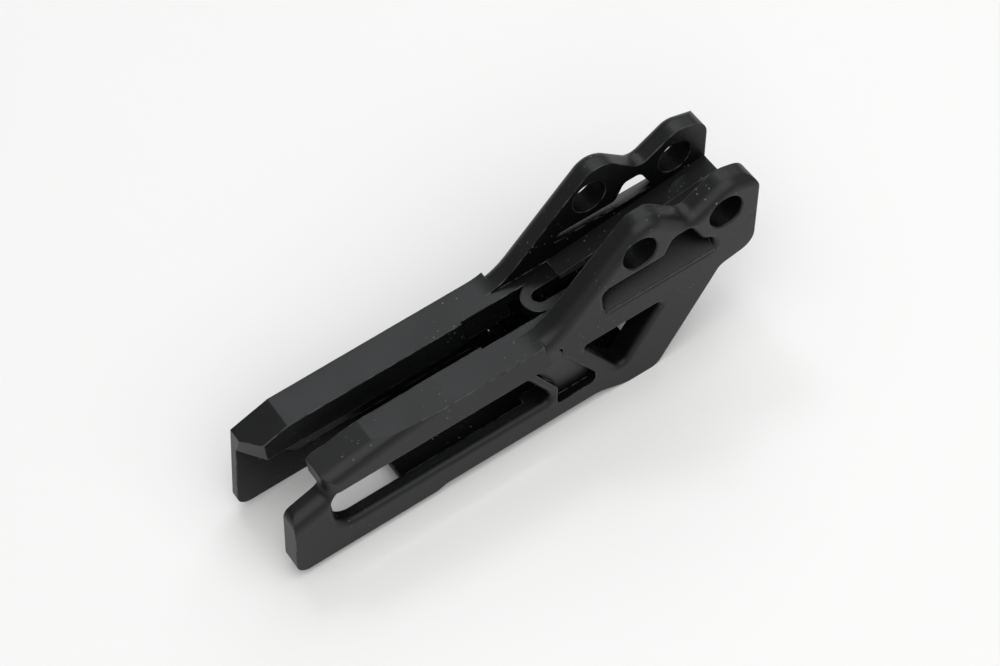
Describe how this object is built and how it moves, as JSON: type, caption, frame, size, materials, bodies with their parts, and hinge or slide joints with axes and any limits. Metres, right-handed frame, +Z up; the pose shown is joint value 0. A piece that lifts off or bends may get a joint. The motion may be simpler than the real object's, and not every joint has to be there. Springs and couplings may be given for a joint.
{
  "type": "motorcycle chain guide",
  "caption": "Black moulded motorcycle chain guide with twin slide rails, windowed side walls and a forked mount with cross holes.",
  "frame": {"origin": "on the middle plane, on the axis of the front cross hole", "axes": "+X along the chain from the tail tips to the lugs, +Y across the chain, +Z up from the bottom edges to the lugs"},
  "size_m": [0.1989, 0.04, 0.0783],
  "materials": {
    "body": "moulded, satin with a light grain"
  },
  "bodies": {
    "root": {"guide_body": "body"}
  },
  "joints": []
}
